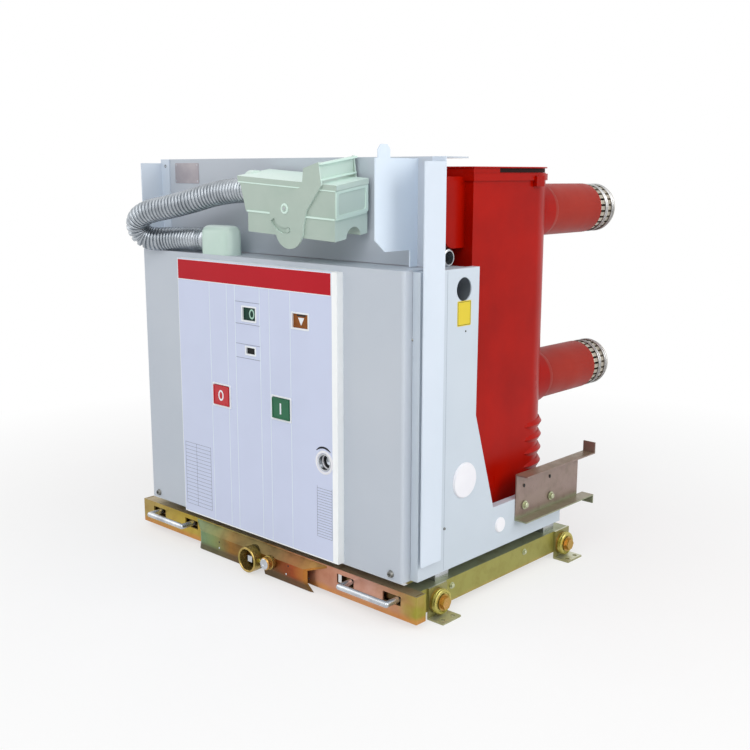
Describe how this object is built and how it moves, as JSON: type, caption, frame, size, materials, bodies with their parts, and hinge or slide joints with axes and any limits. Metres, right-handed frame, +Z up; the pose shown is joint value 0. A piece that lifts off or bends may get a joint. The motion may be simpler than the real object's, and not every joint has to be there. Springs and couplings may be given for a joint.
{
  "type": "vacuum circuit breaker",
  "caption": "Indoor truck-mounted vacuum circuit breaker with a sheet-metal mechanism housing, red resin poles, tulip contacts, hose and control plug",
  "frame": {"origin": "middle of the breaker on the floor, at the bottom centre of its bounding box without the hose", "axes": "+X to the right of someone facing the operating panel, -Y out of the panel, +Z up"},
  "size_m": [0.67, 0.6592, 0.6565],
  "materials": {
    "housing_paint": "light grey powder coat",
    "panel_face": "smooth lavender-white sheet",
    "red_resin": "glossy brick-red resin",
    "red_sleeve": "satin red shrink sleeve",
    "yellow_zinc": "iridescent yellow zinc passivation",
    "purple_zinc": "grey-purple zinc passivation",
    "bright_zinc": "bright zinc plating",
    "silver_contact": "silver-plated contact fingers",
    "screw_steel": "bare turned steel",
    "mint_plastic": "pale mint moulding",
    "hose_metal": "corrugated stainless hose",
    "white_plastic": "white plastic",
    "red_plastic": "red button",
    "green_plastic": "green button",
    "dark_window": "smooth indicator windows"
  },
  "bodies": {
    "truck": {"back_plate": "housing_paint", "cable_gland": "mint_plastic", "charging_socket": "screw_steel", "cheek_plate": "housing_paint", "control_hose": "hose_metal", "cross_bearers": "yellow_zinc", "foot_brackets": "bright_zinc", "front_panel": "panel_face", "guide_brackets": "purple_zinc", "indicator_windows": "dark_window", "lower_contact_arms": "red_sleeve", "lower_tulip_contacts": "silver_contact", "mechanism_cover": "housing_paint", "mechanism_frame": "housing_paint", "plug_base": "mint_plastic", "plug_hood": "mint_plastic", "pole_centre": "red_resin", "pole_left": "red_resin", "pole_right": "red_resin", "rails": "yellow_zinc", "rear_conduit": "hose_metal", "rear_tie": "yellow_zinc", "screw_crossmember": "yellow_zinc", "side_caps": "white_plastic", "side_members": "housing_paint", "side_plate_left": "housing_paint", "side_plate_right": "housing_paint", "upper_contact_arms": "red_sleeve", "upper_tulip_contacts": "silver_contact", "wheel_bolts": "yellow_zinc"},
    "beam": {"front_beam": "yellow_zinc", "screw_plate": "yellow_zinc", "racking_screw": "screw_steel", "interlock_knob": "yellow_zinc"},
    "handle_left": {"lock_handle_left": "bright_zinc"},
    "handle_right": {"lock_handle_right": "bright_zinc"},
    "off_button": {"off_button": "red_plastic"},
    "on_button": {"on_button": "green_plastic"},
    "lever": {"plug_lever": "mint_plastic"},
    "wheel_front_left": {"wheel_front_left": "yellow_zinc"},
    "wheel_front_right": {"wheel_front_right": "yellow_zinc"},
    "wheel_rear_left": {"wheel_rear_left": "yellow_zinc"},
    "wheel_rear_right": {"wheel_rear_right": "yellow_zinc"}
  },
  "joints": [
    {"name": "racking_slide", "type": "slide", "parent": "truck", "child": "beam", "axis": [0, -1, 0], "range_m": [0, 0.2]},
    {"name": "handle_left_slide", "type": "slide", "parent": "beam", "child": "handle_left", "axis": [1, 0, 0], "range_m": [-0.0165, 0.005]},
    {"name": "handle_right_slide", "type": "slide", "parent": "beam", "child": "handle_right", "axis": [-1, 0, 0], "range_m": [0, 0.0215]},
    {"name": "off_button_press", "type": "slide", "parent": "truck", "child": "off_button", "axis": [0, 1, 0], "range_m": [0, 0.005], "stiffness_N_per_m": 1500, "springref_m": -0.002},
    {"name": "on_button_press", "type": "slide", "parent": "truck", "child": "on_button", "axis": [0, 1, 0], "range_m": [0, 0.005], "stiffness_N_per_m": 1500, "springref_m": -0.002},
    {"name": "plug_lever_hinge", "type": "hinge", "parent": "truck", "child": "lever", "pos_m": [0.081, -0.271, 0.57], "axis": [0, -1, 0], "range_deg": [0, 60]},
    {"name": "wheel_front_left_spin", "type": "hinge", "parent": "truck", "child": "wheel_front_left", "pos_m": [-0.3153, -0.231, 0.024], "axis": [1, 0, 0], "continuous": true},
    {"name": "wheel_front_right_spin", "type": "hinge", "parent": "truck", "child": "wheel_front_right", "pos_m": [0.3153, -0.231, 0.024], "axis": [1, 0, 0], "continuous": true},
    {"name": "wheel_rear_left_spin", "type": "hinge", "parent": "truck", "child": "wheel_rear_left", "pos_m": [-0.3153, 0.089, 0.024], "axis": [1, 0, 0], "continuous": true},
    {"name": "wheel_rear_right_spin", "type": "hinge", "parent": "truck", "child": "wheel_rear_right", "pos_m": [0.3153, 0.089, 0.024], "axis": [1, 0, 0], "continuous": true}
  ]
}
